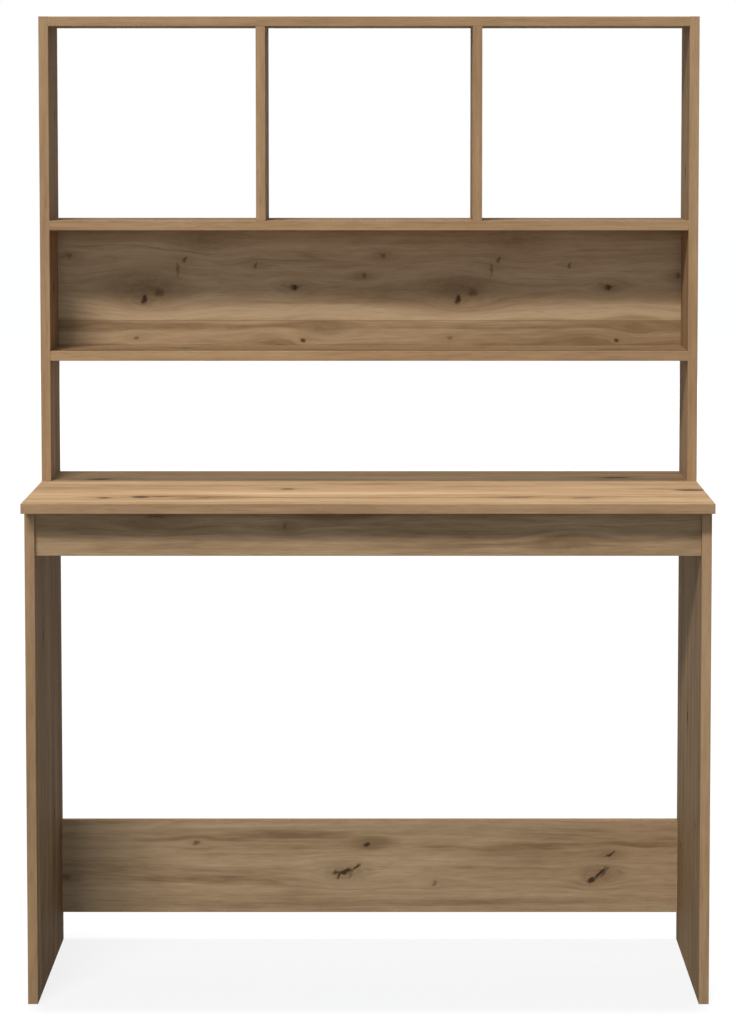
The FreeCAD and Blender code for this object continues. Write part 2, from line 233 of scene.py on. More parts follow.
LEVEL_BOARDS = {
    "desktop": BoardLook(
        "X", "Y", "Z", -0.205, 0.0,
        (
            Knot(-0.34, -0.137, 0.019, 0.019, 12.0, 1.0),
            Knot(-0.308, -0.133, 0.028, 0.0085, 6.0, 0.8, 0.2),
            Knot(-0.394, -0.149, 0.016, 0.013, 8.0, 0.8),
            Knot(-0.245, -0.147, 0.02, 0.012, 5.0, 0.6),
            Knot(0.49, -0.045, 0.036, 0.015, -4.0, 1.0, 0.4),
            Knot(-0.123, -0.031, 0.016, 0.012, 4.0, 0.8),
            Knot(-0.421, 0.105, 0.026, 0.016, 6.0, 0.8),
            Knot(0.222, -0.14, 0.045, 0.011, 4.0, 0.6),
            Knot(0.32, -0.148, 0.024, 0.012, 4.0, 0.6),
            Knot(0.385, 0.128, 0.034, 0.014, 5.0, 0.8),
            Knot(0.02, 0.03, 0.045, 0.008, 2.0, 0.4, 0.2),
        ),
        (
            # A darker band over the whole length where the bookcase stands: painted shade of the bookcase
            # on the desktop.
            Streak(0.0, 0.17, 5.0, 0.075, -0.2),
            Streak(0.18, -0.143, 0.24, 0.011, -0.3),
            Streak(0.43, -0.1, 0.15, 0.011, -0.35),
            Streak(-0.25, -0.14, 0.2, 0.014, -0.22),
            Streak(0.18, 0.0, 0.2, 0.013, -0.25),
            Streak(-0.3, 0.01, 0.18, 0.014, -0.2),
            Streak(-0.02, -0.09, 0.35, 0.016, 0.25),
            Streak(-0.38, -0.19, 0.25, 0.016, 0.2),
        ),
    ),
    "front_apron": BoardLook(
        "X", "Z", "Y", 0.6, 1.7,
        (
            Knot(-0.123, 0.72, 0.01, 0.005, 75.0, 0.45, 0.7),
            Knot(-0.315, 0.735, 0.022, 0.004, 3.0, 0.5),
            Knot(0.3, 0.688, 0.04, 0.003, 1.0, 0.3, 0.3),
        ),
        (
            Streak(-0.06, 0.735, 0.11, 0.016, -0.45),
            # The two darker bands along the whole top of the apron are painted shade under the desktop's
            # overhang.
            Streak(0.0, 0.745, 5.0, 0.008, -0.25),
            Streak(0.0, 0.727, 5.0, 0.024, -0.22),
            Streak(0.25, 0.69, 0.2, 0.005, -0.22),
            Streak(-0.3, 0.69, 0.16, 0.006, -0.2),
        ),
        tone=-0.05,
    ),
    "rear_stretcher": BoardLook(
        "X", "Z", "Y", 0.042, 3.1,
        (
            Knot(-0.04, 0.113, 0.018, 0.0062, 12.0, 1.0, 0.7),
            Knot(-0.022, 0.121, 0.011, 0.0034, 40.0, 0.9, 0.3),
            Knot(-0.049, 0.107, 0.009, 0.004, 65.0, 0.9, 0.2),
            Knot(-0.03, 0.108, 0.007, 0.0035, 60.0, 0.45, 0.3),
            Knot(-0.055, 0.112, 0.008, 0.0045, 10.0, 0.8, 0.2),
            Knot(-0.004, 0.158, 0.0075, 0.0068, 20.0, 1.0, 0.9),
            Knot(-0.279, 0.16, 0.0075, 0.0052, 0.0, 0.55, 0.4),
            Knot(-0.487, 0.105, 0.01, 0.0048, 0.0, 0.45, 0.6),
            Knot(0.104, 0.095, 0.0075, 0.0042, 45.0, 0.38, 0.3),
            Knot(0.371, 0.111, 0.019, 0.0036, 47.0, 1.0, 0.8),
            Knot(0.378, 0.112, 0.014, 0.0022, 50.0, 0.9, 0.3),
            Knot(0.357, 0.099, 0.009, 0.0058, 10.0, 1.0, 0.6),
            Knot(0.387, 0.142, 0.013, 0.0028, 28.0, 0.9, 0.6),
        ),
        (
            Streak(-0.3, 0.166, 0.15, 0.009, -0.42),
            Streak(-0.13, 0.173, 0.13, 0.01, -0.42),
            Streak(0.01, 0.16, 0.06, 0.012, -0.35),
            Streak(0.11, 0.155, 0.06, 0.009, -0.42),
            Streak(0.24, 0.153, 0.12, 0.008, -0.36),
            Streak(0.44, 0.156, 0.09, 0.008, -0.42),
            Streak(0.15, 0.117, 0.22, 0.011, -0.22),
            Streak(-0.3, 0.098, 0.25, 0.01, -0.18),
            Streak(0.15, 0.062, 0.3, 0.008, -0.25),
            Streak(-0.2, 0.13, 0.25, 0.012, 0.2),
            Streak(0.12, 0.135, 0.18, 0.008, 0.22),
        ),
    ),
    "hutch_back_panel": BoardLook(
        "X", "Z", "Y", 1.002, 5.7,
        (
            Knot(-0.358, 1.036, 0.011, 0.0068, 65.0, 0.95, 0.9),
            Knot(-0.335, 1.047, 0.012, 0.009, 20.0, 0.6, 0.8),
            Knot(-0.355, 1.052, 0.03, 0.015, 10.0, 0.18, 0.9),
            Knot(-0.119, 1.055, 0.0085, 0.0055, 5.0, 0.85, 0.6),
            Knot(-0.119, 1.057, 0.016, 0.003, 0.0, 0.5, 0.2),
            Knot(-0.477, 1.105, 0.008, 0.0065, 0.0, 0.4, 0.5),
            Knot(-0.293, 1.1, 0.008, 0.0042, 70.0, 0.45, 0.35),
            Knot(-0.305, 1.084, 0.015, 0.0036, 88.0, 0.34, 0.35),
            Knot(-0.181, 1.09, 0.008, 0.0036, 85.0, 0.45, 0.35),
            Knot(-0.5065, 1.073, 0.008, 0.005, 80.0, 0.5, 0.7),
            Knot(-0.265, 1.128, 0.02, 0.009, 5.0, 0.15, 0.6),
            Knot(-0.371, 0.974, 0.006, 0.0044, 0.0, 0.42, 0.4),
            Knot(-0.106, 0.97, 0.005, 0.004, 0.0, 0.85, 0.4),
            Knot(-0.08, 0.992, 0.016, 0.006, 35.0, 0.2, 0.4),
            Knot(-0.145, 0.963, 0.022, 0.0022, 2.0, 0.5, 0.2),
        ),
        (
            Streak(0.0, 1.017, 5.0, 0.018, 0.35),
            Streak(0.0, 0.993, 5.0, 0.012, -0.3),
            Streak(0.0, 1.046, 5.0, 0.012, -0.05),
            Streak(0.0, 0.962, 5.0, 0.006, -0.28),
        ),
        (-0.5425, -0.044),
    ),
    "lower_shelf": BoardLook(
        "X", "Y", "Z", -0.05, 5.9,
        (
            Knot(-0.29, 0.15, 0.012, 0.006, 20.0, 0.9),
            Knot(0.18, 0.175, 0.007, 0.0045, 0.0, 0.8),
            Knot(0.385, 0.12, 0.02, 0.003, 5.0, 0.5),
        ),
    ),
    "upper_shelf": BoardLook(
        "X", "Y", "Z", 0.02, 7.3,
        (
            Knot(0.07, 0.14, 0.011, 0.0065, 35.0, 0.9),
            Knot(-0.33, 0.165, 0.018, 0.003, 5.0, 0.6),
            Knot(0.4, 0.16, 0.006, 0.004, 0.0, 0.8),
        ),
    ),
    "hutch_top": BoardLook(
        "X", "Y", "Z", 0.01, 8.9,
        (
            Knot(-0.14, 0.135, 0.013, 0.0075, 25.0, 1.0, 0.8),
            Knot(0.31, 0.17, 0.008, 0.005, 0.0, 0.8),
            Knot(0.335, 0.168, 0.016, 0.0022, 8.0, 0.6, 0.2),
            Knot(-0.41, 0.18, 0.006, 0.004, 0.0, 0.7),
        ),
    ),
}

UPRIGHT_BOARDS = {
    "left_leg_panel": BoardLook(
        "Z", "Y", "X", -0.11, 10.3,
        (
            Knot(0.54, -0.06, 0.015, 0.008, 25.0, 1.0, 0.8),
            Knot(0.562, -0.054, 0.013, 0.0024, 40.0, 0.9, 0.3),
            Knot(0.235, 0.09, 0.012, 0.007, 10.0, 0.9, 0.7),
            Knot(0.33, 0.17, 0.006, 0.004, 0.0, 0.8),
            Knot(0.12, -0.11, 0.006, 0.004, 0.0, 0.7),
            Knot(0.66, 0.13, 0.024, 0.003, 4.0, 0.5),
        ),
        tone=UPRIGHT_PAINTED_SHADE,
    ),
    "right_leg_panel": BoardLook(
        "Z", "Y", "X", -0.06, 11.7,
        (
            Knot(0.395, 0.045, 0.016, 0.0075, 30.0, 1.0, 0.8),
            Knot(0.415, 0.053, 0.012, 0.0022, 50.0, 0.9, 0.3),
            Knot(0.61, 0.14, 0.011, 0.0065, 0.0, 0.9, 0.7),
            Knot(0.17, 0.15, 0.006, 0.0045, 0.0, 0.8),
            Knot(0.255, -0.1, 0.007, 0.0045, 0.0, 0.8),
            Knot(0.69, -0.07, 0.024, 0.003, 3.0, 0.5),
        ),
        tone=UPRIGHT_PAINTED_SHADE,
    ),
    "hutch_left_side": BoardLook(
        "Z", "Y", "X", 0.15, 13.1,
        (
            Knot(1.06, 0.14, 0.013, 0.0065, 20.0, 1.0, 0.7),
            Knot(1.33, 0.175, 0.007, 0.0045, 0.0, 0.8),
            Knot(0.85, 0.165, 0.022, 0.0028, 4.0, 0.5),
        ),
        tone=UPRIGHT_PAINTED_SHADE,
    ),
    "hutch_right_side": BoardLook(
        "Z", "Y", "X", 0.12, 14.9,
        (
            Knot(1.24, 0.145, 0.012, 0.007, 15.0, 1.0, 0.7),
            Knot(0.91, 0.175, 0.006, 0.0045, 0.0, 0.8),
            Knot(1.4, 0.12, 0.02, 0.0028, 4.0, 0.5),
        ),
        tone=UPRIGHT_PAINTED_SHADE,
    ),
    "left_divider": BoardLook(
        "Z", "Y", "X", 0.11, 16.3, (Knot(1.3, 0.15, 0.008, 0.005, 10.0, 0.9),), tone=UPRIGHT_PAINTED_SHADE
    ),
    "right_divider": BoardLook(
        "Z", "Y", "X", 0.14, 17.9, (Knot(1.25, 0.16, 0.007, 0.005, 10.0, 0.9),), tone=UPRIGHT_PAINTED_SHADE
    ),
}


class OakSettings(bpy.types.PropertyGroup):
    """Colours and sizes of the oak decor on the boards and their bands."""

    pale: bpy.props.FloatVectorProperty(
        name="Pale wood",
        description="Colour of the lightest streaks",
        default=(0.525, 0.358, 0.202),
        subtype="COLOR",
        min=0.0,
        max=1.0,
    )
    body: bpy.props.FloatVectorProperty(
        name="Wood",
        description="Colour of most of the decor",
        default=(0.405, 0.260, 0.137),
        subtype="COLOR",
        min=0.0,
        max=1.0,
    )
    deep: bpy.props.FloatVectorProperty(
        name="Dark wood",
        description="Colour of the darkest streaks",
        default=(0.245, 0.148, 0.072),
        subtype="COLOR",
        min=0.0,
        max=1.0,
    )
    heart: bpy.props.FloatVectorProperty(
        name="Knot",
        description="Colour of the heart of a knot and of a crack",
        default=(0.060, 0.038, 0.024),
        subtype="COLOR",
        min=0.0,
        max=1.0,
    )
    core: bpy.props.FloatVectorProperty(
        name="Chipboard",
        description="Colour of the chipboard under the decor, in bores and on bare edges",
        default=(0.42, 0.30, 0.18),
        subtype="COLOR",
        min=0.0,
        max=1.0,
    )
    band_tint: bpy.props.FloatVectorProperty(
        name="Band tint",
        description="Colour of the edge bands against that of the boards",
        default=(1.0, 0.945, 0.90),
        subtype="COLOR",
        min=0.0,
        max=2.0,
    )
    plank: bpy.props.FloatProperty(
        name="Plank width",
        description="Width of the planks in the decor",
        default=0.16,
        min=0.02,
        unit="LENGTH",
    )
    roughness: bpy.props.FloatProperty(
        name="Roughness",
        description="How matt the decor is",
        default=0.70,
        min=0.0,
        max=1.0,
        subtype="FACTOR",
    )


class HardwareSettings(bpy.types.PropertyGroup):
    """Colours of the fasteners."""

    beech: bpy.props.FloatVectorProperty(
        name="Beech",
        description="Colour of the dowels",
        default=(0.56, 0.36, 0.21),
        subtype="COLOR",
        min=0.0,
        max=1.0,
    )
    zinc: bpy.props.FloatVectorProperty(
        name="Zinc",
        description="Colour of the cast cam locks",
        default=(0.42, 0.42, 0.41),
        subtype="COLOR",
        min=0.0,
        max=1.0,
    )
    steel: bpy.props.FloatVectorProperty(
        name="Plated steel",
        description="Colour of the bolts and screws",
        default=(0.40, 0.40, 0.42),
        subtype="COLOR",
        min=0.0,
        max=1.0,
    )


class StudioSettings(bpy.types.PropertyGroup):
    """The floor, the lights and the camera."""

    floor: bpy.props.FloatVectorProperty(
        name="Floor",
        description="Colour of the floor for the light that it throws back",
        default=(0.16, 0.16, 0.16),
        subtype="COLOR",
        min=0.0,
        max=1.0,
    )
    floor_size: bpy.props.FloatProperty(
        name="Floor size",
        description="Length of each side of the floor",
        default=60.0,
        unit="LENGTH",
    )
    ambient: bpy.props.FloatProperty(
        name="Ambient light",
        description="Strength of the light from all round",
        default=0.20,
        min=0.0,
    )
    shade_tint: bpy.props.FloatVectorProperty(
        name="Shade tint",
        description="Colour of the ambient and the fill light",
        default=(0.83, 1.0, 1.25),
        subtype="COLOR",
        min=0.0,
        max=2.0,
    )
    desk_key: bpy.props.FloatProperty(
        name="Key light on the desk",
        description="Light of the desk's large lamp in front, left and above, on a face turned to it",
        default=0.60,
        min=0.0,
    )
    hutch_key: bpy.props.FloatProperty(
        name="Key light on the bookcase",
        description="Light of the bookcase's large lamp in front, left and above, on a face turned to it",
        default=0.678,
        min=0.0,
    )
    fill: bpy.props.FloatProperty(
        name="Fill light",
        description="Light of the wide lamp in front, on a face turned to it",
        default=0.17,
        min=0.0,
    )
    overhead: bpy.props.FloatProperty(
        name="Overhead light",
        description="Light from straight above on a level face",
        default=0.84,
        min=0.0,
    )
    left: bpy.props.FloatProperty(
        name="Left light",
        description="Light of the lamp at the left on the outer faces that are turned to it",
        default=0.221,
        min=0.0,
    )
    right: bpy.props.FloatProperty(
        name="Right light",
        description="Light of the lamp at the right on the outer faces that are turned to it",
        default=0.34,
        min=0.0,
    )
    back: bpy.props.FloatProperty(
        name="Back light",
        description="Light of the low lamp behind, on a face turned to it",
        default=0.40,
        min=0.0,
    )
    camera_place: bpy.props.FloatVectorProperty(
        name="Camera place",
        description="Where the camera stands",
        default=(0.0309, -5.1365, 1.3381),
        subtype="TRANSLATION",
        unit="LENGTH",
    )
    camera_dip: bpy.props.FloatProperty(
        name="Camera dip",
        description="How far the camera looks down",
        default=radians(4.24),
        subtype="ANGLE",
        unit="ROTATION",
    )
    lens: bpy.props.FloatProperty(
        name="Lens",
        description="Focal length of the camera, in millimetres",
        default=118.413,
        min=1.0,
    )
    shift: bpy.props.FloatVectorProperty(
        name="Lens shift",
        description="Shift of the picture, right and up, as a share of its longer side",
        default=(-0.02052, -0.15),
        size=2,
    )


class Steps:
    """Adds nodes to one tree. Most calls return a socket, so that a shader reads as a list of steps."""

    def __init__(self, tree):
        self.tree = tree

    def node(self, kind, **settings):
        """A new node of that kind, with its settings, to the right of the last one."""
        made = self.tree.nodes.new(kind)
        made.location = (NODE_SPACING * len(self.tree.nodes), 0.0)
        for name, value in settings.items():
            setattr(made, name, value)
        return made

    def feed(self, socket, value):
        """Links a socket to the input, or writes a plain number, vector or colour into it."""
        if isinstance(value, bpy.types.NodeSocket):
            self.tree.links.new(value, socket)
        elif socket.type == "RGBA":
            socket.default_value = (*value, 1.0)
        else:
            socket.default_value = value

    def fill(self, made, *values):
        """Feeds the first inputs of a node in order, and returns the node."""
        for socket, value in zip(made.inputs, values):
            self.feed(socket, value)
        return made

    def math(self, operation, *values):
        """A sum on numbers."""
        return self.fill(self.node("ShaderNodeMath", operation=operation), *values).outputs[0]

    def vector(self, operation, *values):
        """A sum on vectors."""
        made = self.fill(self.node("ShaderNodeVectorMath", operation=operation), *values)
        return made.outputs["Value" if operation in ("LENGTH", "DOT_PRODUCT") else "Vector"]

    def split(self, place):
        """The three parts of a vector."""
        return self.fill(self.node("ShaderNodeSeparateXYZ"), place).outputs

    def join(self, first, second, third=0.0):
        """A vector of three parts."""
        return self.fill(self.node("ShaderNodeCombineXYZ"), first, second, third).outputs[0]

    def noise(self, place, stretch, detail=3.0, roughness=0.5):
        """Smooth noise from 0 to 1, with stretch ups and downs a metre on each axis."""
        made = self.node("ShaderNodeTexNoise")
        self.feed(made.inputs["Vector"], self.vector("MULTIPLY", place, stretch))
        made.inputs["Scale"].default_value = 1.0
        made.inputs["Detail"].default_value = detail
        made.inputs["Roughness"].default_value = roughness
        return made.outputs[0]

    def even_noise(self, place, scale, detail=3.0, roughness=0.5):
        """Smooth noise from 0 to 1, with as many ups and downs a metre on all axes."""
        return self.noise(place, (scale, scale, scale), detail, roughness)

    def grain_noise(self, grain, along, across, detail=2.0, roughness=0.5):
        """Smooth noise from 0 to 1, with ups and downs a metre along and across the grain."""
        return self.noise(grain, (along, across, across), detail, roughness)

    def swing(self, noise, amount, base=0.0):
        """The base, moved by noise from 0 to 1, by half the amount up or down at most."""
        return self.math("MULTIPLY_ADD", noise, amount, self.math("SUBTRACT", base, amount / 2))

    def ease(self, value, low, high, at_low=0.0, at_high=1.0):
        """A smooth step from at_low to at_high, while the value goes from low to high."""
        made = self.node("ShaderNodeMapRange", interpolation_type="SMOOTHSTEP")
        return self.fill(made, value, low, high, at_low, at_high).outputs[0]

    def slope(self, value, low, high):
        """A straight rise from 0 to 1, while the value goes from low to high."""
        return self.fill(self.node("ShaderNodeMapRange"), value, low, high).outputs[0]

    def mix(self, kind, share, first, second, **settings):
        """The first vector or colour, going over to the second one by that share."""
        made = self.node("ShaderNodeMix", data_type=kind, **settings)
        *inputs, output = MIX_SOCKETS[kind]
        for number, value in zip(inputs, (share, first, second)):
            self.feed(made.inputs[number], value)
        return made.outputs[output]

    def blend(self, share, first, second, way="MIX"):
        """The first colour, going over to the second one by that share."""
        return self.mix("RGBA", share, first, second, blend_type=way)

    def group(self, tree, **inputs):
        """A node group, with its inputs by name."""
        made = self.node("ShaderNodeGroup", node_tree=tree)
        for name, value in inputs.items():
            self.feed(made.inputs[name], value)
        return made.outputs


def new_group(name, numbers, vectors, outputs):
    """An empty node group, and its steps, the sockets it reads and the numbers it gives."""
    tree = bpy.data.node_groups.new(name, "ShaderNodeTree")
    for socket in numbers:
        tree.interface.new_socket(name=socket, in_out="INPUT", socket_type=NUMBER)
    for socket in vectors:
        tree.interface.new_socket(name=socket, in_out="INPUT", socket_type=VECTOR)
    for socket in outputs:
        tree.interface.new_socket(name=socket, in_out="OUTPUT", socket_type=NUMBER)
    steps = Steps(tree)
    source = steps.node("NodeGroupInput").outputs
    result = steps.node("NodeGroupOutput").inputs
    return tree, steps, source, result


def oak_figure():
    """The streaks, rings and pores of oak, in metres along, across and through the grain.

    All of it is noise drawn out along the grain. The place across the grain first sways. The tone is
    that of the body, moved by the noise of each layer. Veins are the contour lines of one slow noise,
    where another one is high, and pores are short dashes where a very fine noise is high.
    """
    if "oak_figure" in bpy.data.node_groups:
        return bpy.data.node_groups["oak_figure"]
    tree, steps, source, result = new_group("oak_figure", (), ("Grain",), ("Tone", "Vein", "Pore"))
    grain = source["Grain"]
    sway = steps.swing(steps.grain_noise(grain, along=1.6, across=9.0), GRAIN_SWAY)
    grain = steps.vector("ADD", grain, steps.join(0.0, sway))
    tone = BODY_TONE
    for layer in (BROAD_BANDS, FINE_STREAKS, FIBRES, PATCHES, FLAKES):
        noise = steps.grain_noise(grain, layer.along, layer.across, layer.detail, layer.roughness)
        tone = steps.swing(noise, layer.amount, tone)
    steps.feed(result["Tone"], tone)
    slow = steps.grain_noise(grain, along=1.1, across=14.0, detail=3.0, roughness=0.55)
    contour = steps.math("PINGPONG", steps.math("MULTIPLY", slow, VEIN_LINES), 0.5)
    line = steps.ease(contour, 0.0, VEIN_WIDTH, 1.0, 0.0)
    where = steps.ease(steps.grain_noise(grain, along=2.0, across=18.0), low=0.48, high=0.66)
    steps.feed(result["Vein"], steps.math("MULTIPLY", line, where))
    dashes = steps.grain_noise(grain, along=28.0, across=900.0, detail=1.0)
    steps.feed(result["Pore"], steps.ease(dashes, low=0.60, high=0.72))
    return tree


def oak_knot():
    """One knot: its dark heart, the cloud round it, and the grain bent round it.

    The heart is an oval round the centre, measured from the ragged place in half lengths along and
    over it. The cloud is a wider oval in the grain. The grain's place across is drawn towards that of
    the centre, so that the streaks pass round the knot. Each is added to what the last knot gave.
    """
    if "oak_knot" in bpy.data.node_groups:
        return bpy.data.node_groups["oak_knot"]
    tree, steps, source, result = new_group(
        "oak_knot",
        ("Bend", "Heart", "Cloud", "Dark", "Shade"),
        ("Place", "Ragged", "Centre", "Along", "Over", "Spread"),
        ("Bend", "Heart", "Cloud"),
    )
    apart = steps.vector("SUBTRACT", source["Ragged"], source["Centre"])
    along = steps.vector("DOT_PRODUCT", apart, source["Along"])
    over = steps.vector("DOT_PRODUCT", apart, source["Over"])
    reach = steps.vector("LENGTH", steps.join(along, over))
    heart = steps.ease(reach, *HEART_FADE, source["Dark"], 0.0)
    steps.feed(result["Heart"], steps.math("MAXIMUM", heart, source["Heart"]))
    apart = steps.vector("SUBTRACT", source["Place"], source["Centre"])
    reach = steps.vector("LENGTH", steps.vector("MULTIPLY", apart, source["Spread"]))
    cloud = steps.ease(reach, *CLOUD_FADE, source["Shade"], 0.0)
    steps.feed(result["Cloud"], steps.math("MAXIMUM", cloud, source["Cloud"]))
    pull = steps.ease(reach, 0.0, BEND_REACH, -BEND_MOST, 0.0)
    across = steps.split(apart)[1]
    steps.feed(result["Bend"], steps.math("MULTIPLY_ADD", pull, across, source["Bend"]))
    return tree


def oak_streak():
    """One streak: the tone changes by its amount in a long oval round its middle, and less further out."""
    if "oak_streak" in bpy.data.node_groups:
        return bpy.data.node_groups["oak_streak"]
    tree, steps, source, result = new_group(
        "oak_streak", ("Tone", "Amount"), ("Place", "Middle", "Spread"), ("Tone",)
    )
    apart = steps.vector("SUBTRACT", source["Place"], source["Middle"])
    reach = steps.vector("LENGTH", steps.vector("MULTIPLY", apart, source["Spread"]))
    change = steps.ease(reach, *STREAK_FADE, source["Amount"], 0.0)
    steps.feed(result["Tone"], steps.math("ADD", source["Tone"], change))
    return tree


def chipboard_core():
    """Pressed wood chips: small cells, each of its own tone, with fine grain in them."""
    if "chipboard_core" in bpy.data.node_groups:
        return bpy.data.node_groups["chipboard_core"]
    tree, steps, source, result = new_group("chipboard_core", (), ("Place",), ("Tone",))
    chips = steps.node("ShaderNodeTexVoronoi")
    steps.feed(chips.inputs["Vector"], source["Place"])
    chips.inputs["Scale"].default_value = 420.0
    tone = steps.split(chips.outputs["Color"])[0]
    fine = steps.even_noise(source["Place"], scale=1500.0, detail=2.0)
    tone = steps.math("MULTIPLY_ADD", tone, 0.6, steps.math("MULTIPLY", fine, 0.4))
    steps.feed(result["Tone"], tone)
    return tree


def streaks_on(steps, streaks, along, across, tone):
    """The tone of a board with all its streaks, whose borders fray along the grain."""
    if not streaks:
        return tone
    fray = steps.noise(steps.join(along, across), (3.0, 110.0, 1.0), detail=4.0, roughness=0.6)
    place = steps.join(along, steps.swing(fray, STREAK_FRAY, across))
    for streak in streaks:
        tone = steps.group(
            oak_streak(),
            Tone=tone,
            Place=place,
            Middle=(streak.along, streak.across, 0.0),
            Spread=(1.0 / streak.length, 1.0 / streak.width, 0.0),
            Amount=streak.tone,
        )["Tone"]
    return tone


def repeated_knots(look):
    """The knots of a board, with copies of those that reach over an end of the repeat, one repeat on."""
    knots = list(look.knots)
    if not look.repeat:
        return knots
    first, last = look.repeat
    for knot in look.knots:
        reach = KNOT_REACH * knot.size()
        if knot.along - reach < first:
            knots.append(replace(knot, along=knot.along + last - first))
        if knot.along + reach > last:
            knots.append(replace(knot, along=knot.along + first - last))
    return knots


def knots_on(steps, knots, place):
    """All knots of a board: how far they bend the grain, their hearts and their clouds."""
    noise = steps.node("ShaderNodeTexNoise")
    steps.feed(noise.inputs["Vector"], place)
    noise.inputs["Scale"].default_value = RAGGED_SCALE
    noise.inputs["Detail"].default_value = 3.0
    jitter = steps.vector("SUBTRACT", noise.outputs["Color"], (0.5, 0.5, 0.5))
    jitter = steps.vector("MULTIPLY", jitter, (RAGGED_MOST, RAGGED_MOST, 0.0))
    ragged = steps.vector("ADD", place, jitter)
    found = {"Bend": 0.0, "Heart": 0.0, "Cloud": 0.0}
    for knot in knots:
        turn = radians(knot.turn)
        cloud_along, cloud_across = (share * knot.size() for share in CLOUD_SIZE)
        found = steps.group(
            oak_knot(),
            Bend=found["Bend"],
            Heart=found["Heart"],
            Cloud=found["Cloud"],
            Place=place,
            Ragged=ragged,
            Centre=(knot.along, knot.across, 0.0),
            Along=(cos(turn) / knot.length, sin(turn) / knot.length, 0.0),
            Over=(-sin(turn) / knot.width, cos(turn) / knot.width, 0.0),
            Spread=(1.0 / cloud_along, 1.0 / cloud_across, 0.0),
            Dark=knot.dark,
            Shade=knot.cloud,
        )
    return found["Bend"], found["Heart"], found["Cloud"]


def new_material(name):
    """A new material, and its steps and its shader."""
    material = bpy.data.materials.new(name)
    material.use_nodes = True
    steps = Steps(material.node_tree)
    shader = material.node_tree.nodes["Principled BSDF"]
    return material, steps, shader


def object_place(steps):
    """The place on the object, in metres."""
    return steps.node("ShaderNodeTexCoord").outputs["Object"]


def grain_place(steps, look):
    """The place on the object in the order along, across and through the grain."""
    place = steps.split(object_place(steps))
    return [place[AXES.index(axis)] for axis in (look.along, look.across, look.through)]


def emboss(steps, shader, height, relief):
    """Lets the height show as relief in a shader."""
    strength, distance = relief
    bump = steps.node("ShaderNodeBump")
    bump.inputs["Strength"].default_value = strength
    bump.inputs["Distance"].default_value = distance
    steps.feed(bump.inputs["Height"], height)
    steps.feed(shader.inputs["Normal"], bump.outputs[0])


def darker(colour, share):
    """That share of a colour."""
    return tuple(share * part for part in colour)


def oak_colour(steps, oak, tone, vein, pore):
    """The decor's colour: dark, middle and pale wood by tone, then veins and pores over it."""
    colour = steps.blend(steps.slope(tone, DARKEST_TONE, BODY_TONE), oak.deep, oak.body)
    colour = steps.blend(steps.slope(tone, BODY_TONE, PALEST_TONE), colour, oak.pale)
    colour = steps.blend(steps.math("MULTIPLY", vein, VEIN_SHARE), colour, oak.deep)
    return steps.blend(steps.math("MULTIPLY", pore, PORE_SHARE), colour, oak.deep)


def oak_roughness(steps, oak, tone, pore):
    """How matt the decor is: more in its pores, and a little less where it is pale."""
    rough = steps.math("MULTIPLY_ADD", pore, PORE_DULLNESS, oak.roughness)
    return steps.math("MULTIPLY_ADD", tone, -PALE_GLOSS, rough)


def oak_height(steps, tone, pore):
    """How high the decor stands: higher where it is pale, and sunk in its pores."""
    return steps.math("MULTIPLY_ADD", pore, -PORE_DEPTH, tone)


def knot_colour(steps, oak, colour, place, heart, cloud):
    """The colour with mottled clouds round the knots, and with their hearts."""
    mottle = steps.noise(place, (70.0, 160.0, 1.0), roughness=0.6)
    mottle = steps.ease(mottle, low=0.25, high=0.65, at_low=0.50, at_high=0.95)
    cloud = steps.math("MULTIPLY", cloud, mottle)
    colour = steps.blend(cloud, colour, oak.deep)
    colour = steps.blend(steps.ease(heart, *HEART_WOOD), colour, oak.deep)
    return steps.blend(steps.ease(heart, *HEART_CRACK), colour, oak.heart)


def board_material(name, look, oak):
    """Oak decor on the two faces of a board, and bare chipboard on its edges and in its bores."""
    material, steps, shader = new_material(name)
    along, across, through = grain_place(steps, look)
    plank = steps.math("DIVIDE", steps.math("SUBTRACT", across, look.start), oak.plank)
    number = steps.math("FLOOR", plank)
    dice = steps.node("ShaderNodeTexWhiteNoise", noise_dimensions="1D")
    steps.feed(dice.inputs["W"], steps.math("ADD", number, look.shift))
    chance = dice.outputs["Value"]
    printed = along
    if look.repeat:
        first, last = look.repeat
        printed = steps.math("WRAP", along, last, first)
    knot_place = steps.join(printed, across)
    bend, heart, cloud = knots_on(steps, repeated_knots(look), knot_place)
    bent = steps.math("ADD", across, bend)
    grain = steps.join(
        steps.math("MULTIPLY_ADD", chance, PLANK_JUMP, along),
        steps.math("ADD", bent, look.shift),
        steps.math("MULTIPLY_ADD", number, PLANK_DEPTH, through),
    )
    figure = steps.group(oak_figure(), Grain=grain)
    pore = figure["Pore"]
    tone = steps.swing(chance, PLANK_TONE, steps.math("ADD", figure["Tone"], look.tone))
    tone = streaks_on(steps, look.streaks, along, bent, tone)
    colour = oak_colour(steps, oak, tone, figure["Vein"], pore)
    seam = steps.ease(steps.math("PINGPONG", plank, 0.5), 0.0, SEAM_WIDTH, SEAM_SHARE, 0.0)
    colour = steps.blend(seam, colour, oak.deep)
    colour = knot_colour(steps, oak, colour, knot_place, heart, cloud)
    normal = steps.node("ShaderNodeNewGeometry").outputs["True Normal"]
    turned = steps.split(steps.vector("ABSOLUTE", normal))[AXES.index(look.through)]
    edge = steps.ease(turned, *EDGE_TURN, 1.0, 0.0)
    chips = steps.group(chipboard_core(), Place=steps.join(along, across, through))["Tone"]
    colour = steps.blend(edge, colour, steps.blend(chips, oak.deep, oak.core))
    steps.feed(shader.inputs["Base Color"], colour)
    rough = oak_roughness(steps, oak, tone, pore)
    steps.feed(shader.inputs["Roughness"], steps.math("MULTIPLY_ADD", edge, EDGE_DULLNESS, rough))
    shader.inputs["Specular IOR Level"].default_value = DECOR_SHINE
    height = steps.math("SUBTRACT", oak_height(steps, tone, pore), heart)
    emboss(steps, shader, steps.math("MULTIPLY_ADD", edge, chips, height), BOARD_RELIEF)
    return material


